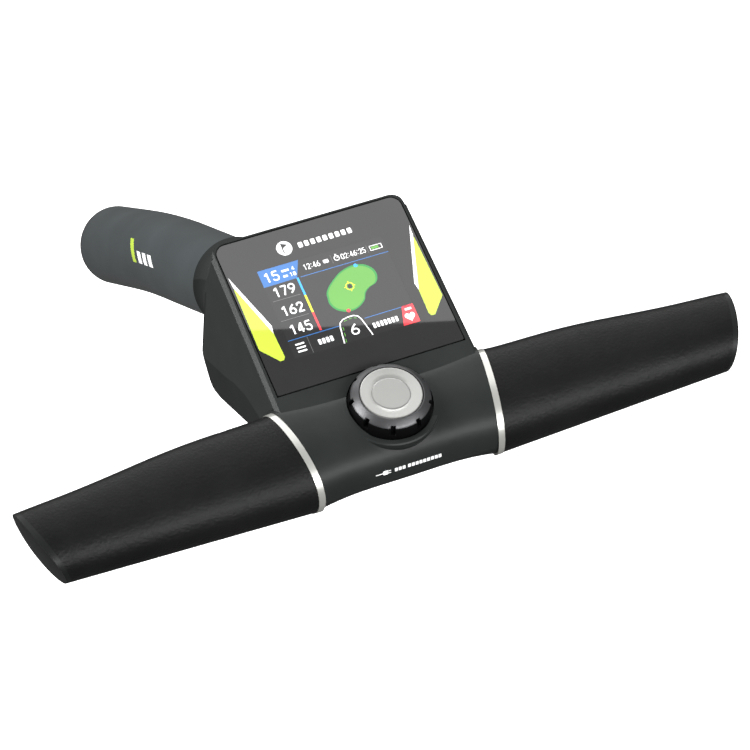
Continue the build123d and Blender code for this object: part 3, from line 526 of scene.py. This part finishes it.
def clock_row():
    """The time, a stopwatch and the battery's charge along the top."""
    digits("clock", "12:46", (-9.5, 15.0), (-2.2, 17.5), weight=0.14)
    digits("timer", "02:46:25", (7.9, 14.9), (18.9, 17.3), weight=0.14)
    print_on_glass("clock_mark", [bar((-0.4, 15.4), (2.0, 17.0), 0.4)], "white", layer=2)
    print_on_glass("battery_case", [bar((21.1, 14.8), (26.8, 17.2), 0.4)], "white")
    print_on_glass("battery_gap", [bar((21.4, 15.1), (26.4, 16.9), 0.2)], "screen", layer=1.5)
    print_on_glass("battery_fill", [bar((21.8, 15.4), (25.2, 16.6), 0.15)], "green", layer=2)
    crown = bar((5.4, 17.6), (6.2, 18.1))
    hand = stroke([(5.8, 16.2), (6.5, 16.8)], 0.3)
    print_on_glass("stopwatch", [ring_outline((5.8, 16.2), 1.3, 0.95), crown, hand], "white", layer=2)


RING_CUT = 0.001             # width of the cut


def ring_outline(at, outer, inner, steps=36):
    """A ring with a hairline cut, so that it is a single outline."""
    turns = [2 * pi * i / steps for i in range(steps + 1)]
    out = [(at[0] + outer * cos(t), at[1] + outer * sin(t)) for t in turns]
    back = [(at[0] + inner * cos(t), at[1] + inner * sin(t)) for t in turns[::-1]]
    out[-1] = (out[-1][0], out[-1][1] - RING_CUT)
    back[0] = (back[0][0], back[0][1] - RING_CUT)
    return out + back


def screen_rules():
    """Thin dividing lines, and the bar at the left whose colours stand for the ranges."""
    blue = [[(-12.4, 12.45), (28.3, 12.35)], [(-29.1, -14.2), (-5.7, -14.3)], [(6.0, -14.25), (28.3, -14.2)]]
    print_on_glass("rules", [stroke(line, 0.32) for line in blue], "blue", layer=1)
    across = [[(-28.2, 5.0), (-15.6, 4.9)], [(-28.4, -4.7), (-15.6, -4.8)]]
    upright = [[(-20.7, -14.7), (-20.8, -22.4)], [(3.5, 14.2), (3.5, 18.2)], [(20.0, 14.3), (20.0, 17.9)]]
    grey = [stroke(line, 0.28) for line in across] + [stroke(line, 0.25) for line in upright]
    print_on_glass("separators", grey, "grey")
    ranges = (("far", "sky", 12.5, 3.95), ("mid", "yellow", 3.85, -4.6), ("near", "red", -4.7, -13.6))
    for name, ink, top, bottom in ranges:
        print_on_glass("range_" + name, [bar((-14.3, bottom), (-13.4, top))], ink, layer=2)


def distances():
    """Three distances, to the back, the middle and the front of the green."""
    for name, text, bottom in (("back", "179", 6.4), ("middle", "162", -2.9), ("front", "145", -12.1)):
        digits("distance_" + name, text, (-26.2, bottom + 0.2), (-16.8, bottom + 4.4))


FRINGE = 0.93                # size of the bright green within its darker edge


def green_map():
    """The putting green seen from above, with the flag's mark in its middle."""
    edge = [(-5.4, -0.6), (-4.6, 2.3), (-1.3, 5.7), (4.6, 9.5), (10.6, 10.9), (15.6, 9.8), (18.8, 6.6),
            (19.1, 2.9), (17.3, 0.1), (13.7, -1.2), (11.2, -3.1), (9.3, -6.3), (5.2, -8.8), (0.7, -9.2),
            (-3.7, -7.0), (-5.6, -3.6)]
    middle = Vector((6.0, 0.6))
    inner = [tuple(middle + (Vector(p) - middle) * FRINGE) for p in edge]
    print_on_glass("green_edge", [smooth_loop(edge)[::-1]], "leaf")
    print_on_glass("green", [smooth_loop(inner)[::-1]], "green", layer=2)
    flag = (5.9, 1.9)
    target = [ring_outline(flag, 1.9, 1.5)]
    for quarter in range(4):
        turn = quarter * pi / 2
        ends = [(flag[0] + r * cos(turn), flag[1] + r * sin(turn)) for r in (1.3, 2.5)]
        target.append(stroke(ends, 0.4))
    print_on_glass("target", target, "yellow", layer=3)
    print_on_glass("pin", [circle(flag, 1.05)], "screen", layer=3)
    print_on_glass("back_edge", [circle((12.1, 10.4), 0.85)], "sky", layer=3)
    print_on_glass("front_edge", [circle((0.9, -8.7), 0.85)], "red", layer=3)


def bottom_row():
    """The menu's sign, blank tiles for words, the speed and a red box with a heart."""
    menu = [bar((-26.9, y), (-22.8, y + 0.75), 0.3) for y in (-17.2, -18.9, -20.6)]
    print_on_glass("menu", menu, "white")
    words = [bar((-17.0 + 1.8 * i, -19.9), (-15.7 + 1.8 * i, -17.4), 0.4) for i in range(4)]
    words += [bar((8.1 + 1.72 * i, -19.9), (9.3 + 1.72 * i, -17.4), 0.4) for i in range(7)]
    print_on_glass("word_tiles", words, "white")
    speed_arch()
    box = [(23.2, -13.95), (20.6, -22.8), (28.3, -22.8), (28.3, -13.95)]
    print_on_glass("safety_box", [box[::-1]], "red")
    print_on_glass("safety_heart", [heart((25.0, -19.4), 2.3)], "white", layer=2)
    print_on_glass("safety_bar", [bar((24.0, -16.3), (27.0, -15.3), 0.3)], "white", layer=2)


DASH_INSET = 0.86            # draws the dashes in from the arch
DASH_DROP = 0.55


def speed_arch():
    """The arch-shaped scale round the speed figure; each dash has a start and a run."""
    arch = [(-6.7, -22.6), (-6.1, -18.5), (-5.5, -14.9), (-4.8, -13.1), (-3.2, -11.95), (-0.5, -11.5),
            (1.9, -11.5), (3.6, -12.3), (4.5, -14.0), (5.5, -18.3), (6.4, -22.6)]
    print_on_glass("arch", [stroke(arch, 0.5)], "white", layer=2)
    dashes = []
    for x, y, run, rise in ((-6.3, -20.2, -0.3, -1.6), (-5.6, -17.4, -0.3, -1.6), (-5.1, -14.8, -0.25, -1.5),
                            (-3.4, -12.3, 1.5, 0.2), (-0.6, -11.9, 1.5, 0.1), (2.0, -12.0, 1.1, -0.5)):
        start = (x * DASH_INSET, y - DASH_DROP)
        dashes.append(stroke([start, (start[0] + run, start[1] + rise)], 0.32))
    print_on_glass("arch_dashes", dashes, "green", layer=2)
    digits("speed", "6", (-1.5, -20.0), (1.5, -15.4), weight=0.15)


def heart(at, size, steps=40):
    """The well-known heart curve, scaled to the given half width."""
    points = []
    for i in range(steps):
        t = -2 * pi * i / steps
        x = 16 * sin(t) ** 3
        y = 13 * cos(t) - 5 * cos(2 * t) - 2 * cos(3 * t) - cos(4 * t)
        points.append((at[0] + x / 16 * size, at[1] + y / 16 * size))
    return points


# ---- the dial ----

CAP_STEPS = 144              # around the turned shapes
KNOB_STEPS = 360


def turned(name, profile, steps, place, material, body, squeeze=None):
    """A solid of revolution about the frame's Z; squeeze(angle, radius, height) may dent it."""
    bm = bmesh.new()
    rings = []
    for i in range(steps):
        angle = 2 * pi * i / steps
        ring = []
        for radius, height in profile:
            r = squeeze(angle, radius, height) if squeeze else radius
            ring.append(bm.verts.new((r * cos(angle) * MM, r * sin(angle) * MM, height * MM)))
        rings.append(ring)
    for i in range(steps):
        here, ahead = rings[i], rings[(i + 1) % steps]
        for k in range(len(profile) - 1):
            bm.faces.new((here[k], ahead[k], ahead[k + 1], here[k + 1]))
    bmesh.ops.remove_doubles(bm, verts=bm.verts, dist=1e-6)
    return new_object(name, bm, place, material, body, smooth=28)


def dial_cap():
    """A dished metal disc whose slanted band catches more light than its middle."""
    profile = [(0, -3.0), (CAP_RADIUS, -3.0), (CAP_RADIUS, -0.4), (12.98, -0.14), (12.75, -0.02),
               (12.5, -0.03), (12.2, -0.09), (10.2, -0.39), (8.35, -0.68), (8.15, -0.78), (7.95, -0.7),
               (7.75, -0.6), (7.3, -0.58), (0, -0.58)]
    cap = turned("cap", profile, CAP_STEPS, DIAL, SLOT_MATERIALS["dial_metal"], "dial")
    cap.data.materials.append(lathed_metal("cap_band", 0.25))
    for face in cap.data.polygons:
        face.material_index = int(face.center.xy.length > DISC_RADIUS * MM)
    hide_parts("dial_cap")


SLOT_INNER = 15.9            # nothing nearer to the axis is dented
SLOT_TOP, SLOT_BOTTOM = -1.75, -6.3
SLOT_DEPTH = 1.7
SLOT_FLAT = 0.65             # half width of the slot's floor
SLOT_HALF_WIDTH = 0.95


def knob_dent(angle, radius, height):
    """Upright slots round the knob's rim, half as deep along their sides."""
    if radius < SLOT_INNER or not SLOT_BOTTOM < height < SLOT_TOP:
        return radius
    pitch = 2 * pi / KNOB_SLOTS
    off = abs(((angle - radians(SLOT_PHASE)) / pitch + 0.5) % 1 - 0.5) * pitch * KNOB_RADIUS
    if off < SLOT_FLAT:
        return radius - SLOT_DEPTH
    if off < SLOT_HALF_WIDTH:
        return radius - SLOT_DEPTH * 0.5
    return radius


FACE_EDGE = -2.6             # the gunmetal face ends at this height ...
FACE_INNER = 13.4            # ... and at this radius, beside the bore


def knob_face():
    return surface("knob_face", (0.045, 0.045, 0.047), 0.4, metallic=0.55, grain=3600, relief=0.006)


def dial_knob():
    """A bevelled gunmetal face above a black slotted rim."""
    profile = [(KNOB_BORE, -4.4), (KNOB_BORE, -0.55), (13.5, -0.25), (13.9, -0.25), (14.2, -0.42),
               (15.9, -1.7), (16.6, -2.3), (16.9, -2.7), (17.1, -3.3), (17.35, -4.2), (KNOB_RADIUS, -5.2),
               (KNOB_RADIUS, -6.2), (KNOB_RADIUS, -6.4), (KNOB_RADIUS, -9.3), (17.3, -9.6), (15.3, -9.6),
               (15.3, -4.6), (KNOB_BORE, -4.4)]
    knob = turned("knob", profile, KNOB_STEPS, DIAL, SLOT_MATERIALS["knob_plastic"], "dial", knob_dent)
    knob.data.materials.append(knob_face())
    for face in knob.data.polygons:
        above = face.center.z > FACE_EDGE * MM
        outside = face.center.xy.length > FACE_INNER * MM
        face.material_index = int(above and outside)
    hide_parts("dial_knob")


# ---- marks printed on the housing and the stem ----

DROP_HEIGHT = 30             # where points start their fall towards the surface
INK_LIFT = 0.07              # of the ink's outer face above the surface
INK_BODY = 0.09


def skin_of(node):
    """The CAD node's surface, ready for ray casts."""
    mesh = frame["nodes"][node].data
    return BVHTree.FromPolygons([v.co for v in mesh.vertices], [list(f.vertices) for f in mesh.polygons])


def dropped(skin, place, x, y):
    """Where the frame's point (x, y), lowered along Z, comes to rest just above the surface."""
    down = place.to_3x3() @ Vector((0, 0, -1))
    start = place @ Vector((x * MM, y * MM, DROP_HEIGHT * MM))
    return skin.ray_cast(start, down)[0] - down * INK_LIFT * MM


def thicken(bm, inward):
    """Gives the flat ink faces a body that reaches into the surface below."""
    raised = bmesh.ops.extrude_face_region(bm, geom=bm.faces[:])
    for v in raised["geom"]:
        if isinstance(v, bmesh.types.BMVert):
            v.co += inward * INK_BODY * MM


def on_nose(name, outlines, place):
    """Thin shapes laid on the housing by dropping their points along the frame's Z."""
    skin = skin_of("upper_housing")
    bm = bmesh.new()
    for outline in outlines:
        bm.faces.new([bm.verts.new(dropped(skin, place, x, y)) for x, y in outline])
    bmesh.ops.triangulate(bm, faces=bm.faces)
    thicken(bm, place.to_3x3() @ Vector((0, 0, -1)))
    # The white ink's glow on the nose is painted glow.
    return new_object(name, bm, Matrix.Identity(4), INK["white"])


SIGN_OUT = -72.2             # from the glass's middle, towards the golfer
SIGN_UP = -36.5
SIGN_TILT = 64.5


def charging_sign():
    """A plain plug sign and blank tiles, facing the golfer low on the nose."""
    place = GLASS @ Matrix.Rotation(radians(-DISPLAY_TILT), 4, "X")
    place = place @ Matrix.Translation((0, SIGN_OUT * MM, SIGN_UP * MM))
    place = place @ Matrix.Rotation(radians(SIGN_TILT), 4, "X")
    plug = [bar((-12.9, -1.0), (-10.6, 1.0), 0.5), bar((-10.6, 0.3), (-9.3, 0.7)),
            bar((-10.6, -0.7), (-9.3, -0.3)), bar((-16.2, -0.2), (-12.9, 0.2))]
    starts = [-7.6 + 1.75 * i for i in range(3)] + [-1.6 + 1.75 * i for i in range(9)]
    tiles = [bar((x, -0.8), (x + 1.35, 0.8), 0.25) for x in starts]
    on_nose("plug_sign", plug, place)
    on_nose("plug_tiles", tiles, place)


MARK_AT = (-18.9, -95.2, 71.9)
MARK_SLOPE = 31.2            # of the stem's centre line there
MARK_LIFT = 22.0             # how far the mark faces up from sideways
MARK_SLANT = 1.1             # along the stem for each millimetre across it
TILE_WIDTH = 5.4
TILE_PITCH = 8.6


def stem_mark():
    """Four blank slanted tiles, one of them lime, printed on the stem's left side."""
    slope, lift = radians(MARK_SLOPE), radians(MARK_LIFT)
    along = Vector((0, -cos(slope), sin(slope)))
    outward = Vector((-cos(lift), sin(lift) * sin(slope), sin(lift) * cos(slope)))
    place = Matrix((along, outward.cross(along), outward)).transposed().to_4x4()
    place.translation = Vector(MARK_AT) * MM
    # The inks' glow on the stem's tiles is painted glow.
    wrapped_tile("lime_tile", place, -17.0, -4.6, 6.2, "lime")
    for i in range(3):
        wrapped_tile(f"white_tile_{i + 1}", place, -7.0 + TILE_PITCH * i, -4.2, 1.2, "white")


def wrapped_tile(name, place, left, bottom, top, ink, steps=10):
    """A slanted tile that follows the stem's round surface."""
    skin = skin_of("stem_sleeve")
    inward = place.to_3x3() @ Vector((0, 0, -1))
    bm = bmesh.new()
    rows = []
    for j in range(steps + 1):
        height = bottom + (top - bottom) * j / steps
        start = left - MARK_SLANT * (height - bottom)
        points = [dropped(skin, place, start + TILE_WIDTH * i / steps, height) for i in range(steps + 1)]
        rows.append([bm.verts.new(point) for point in points])
    for low, high in zip(rows, rows[1:]):
        for i in range(steps):
            bm.faces.new((low[i], low[i + 1], high[i + 1], high[i]))
    thicken(bm, inward)
    return new_object(name, bm, Matrix.Identity(4), INK[ink])


# ---- studio ----

WORLD_LIGHT = 0.16
FLOOR_DROP = 0.25            # below the part
FLOOR_HALF = 6               # half the floor's width

# The broad softbox that lies flat above the part: place from the glass's middle, and turn.
TOP_LIGHT = Vector((0.451, 0.483, 1.0))
TOP_TURN = -13.4

# Softboxes that face the glass: place from its middle, size and radiance.
SOFTBOXES = {
    "softbox_front": ((0.25, -1.0, 0.4), (1.3, 0.3), 19.0),
    "softbox_back": ((0.35, 1.7, 1.05), (2.4, 0.6), 6.0),
    "softbox_left": ((-0.95, 0.2, 0.6), (0.5, 0.6), 29.0),
}

CAMERA_AZIMUTH = -24.647
CAMERA_ELEVATION = 42.319
CAMERA_FROM_GLASS = Vector((-0.39658, -0.90101, 0.84989))
CAMERA_LENS = 147.97


def soft_light(name, at, aim, size, radiance):
    """A square-edged softbox that faces aim and shines with the given radiance."""
    data = bpy.data.lights.new(name, "AREA")
    data.shape = "RECTANGLE"
    data.size, data.size_y = size
    data.energy = radiance * size[0] * size[1] * pi
    light = bpy.data.objects.new(name, data)
    light.matrix_world = Matrix.Translation(at) @ (aim - at).to_track_quat("-Z", "Y").to_matrix().to_4x4()
    bpy.context.scene.collection.objects.link(light)
    return light


def white_floor():
    """A bright backdrop that neither shows in reflections nor lights the part."""
    bm = bmesh.new()
    bmesh.ops.create_grid(bm, x_segments=1, y_segments=1, size=FLOOR_HALF)
    mesh = bpy.data.meshes.new("floor")
    bm.to_mesh(mesh)
    bm.free()
    mesh.materials.append(surface("floor", (0.9, 0.9, 0.9), 0.8, specular=0.1, grain=60, relief=0.0,
                                  mottle=0.004, emission=0.6))
    floor = bpy.data.objects.new("floor", mesh)
    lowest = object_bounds()[0][2]
    floor.location = (0, 0, lowest - FLOOR_DROP)
    floor.visible_glossy = False
    floor.visible_diffuse = False
    bpy.context.scene.collection.objects.link(floor)
    floor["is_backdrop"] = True


def dim_world():
    """Weak white light from all round."""
    world = bpy.data.worlds.new("studio")
    world.use_nodes = True
    background = world.node_tree.nodes["Background"]
    background.inputs["Color"].default_value = (1, 1, 1, 1)
    background.inputs["Strength"].default_value = WORLD_LIGHT
    bpy.context.scene.world = world


def studio():
    """A white floor, weak light from all round and four softboxes."""
    white_floor()
    dim_world()
    centre = GLASS.translation
    below = Vector((TOP_LIGHT.x, TOP_LIGHT.y, 0))
    top = soft_light("softbox_top", centre + TOP_LIGHT, centre + below, (1.4, 1.0), 2.1)
    place = Matrix.Translation(top.matrix_world.translation)
    top.matrix_world = place @ Matrix.Rotation(radians(TOP_TURN), 4, "Z")
    for name, (offset, size, radiance) in SOFTBOXES.items():
        soft_light(name, centre + Vector(offset), centre, size, radiance)
    bpy.context.scene.view_settings.view_transform = "Standard"


def camera():
    """Looks at the part from where the picture was taken."""
    data = bpy.data.cameras.new("camera")
    data.lens = CAMERA_LENS
    data.clip_end = 20
    eye = bpy.data.objects.new("camera", data)
    eye.location = GLASS.translation + CAMERA_FROM_GLASS
    eye.rotation_euler = (radians(90 - CAMERA_ELEVATION), 0, radians(CAMERA_AZIMUTH))
    bpy.context.scene.collection.objects.link(eye)
    bpy.context.scene.camera = eye


dress_nodes()
display_lens()
side_flashes()
maker_mark()
screen_page()
clock_row()
screen_rules()
distances()
green_map()
bottom_row()
dial_cap()
dial_knob()
charging_sign()
stem_mark()
studio()
camera()
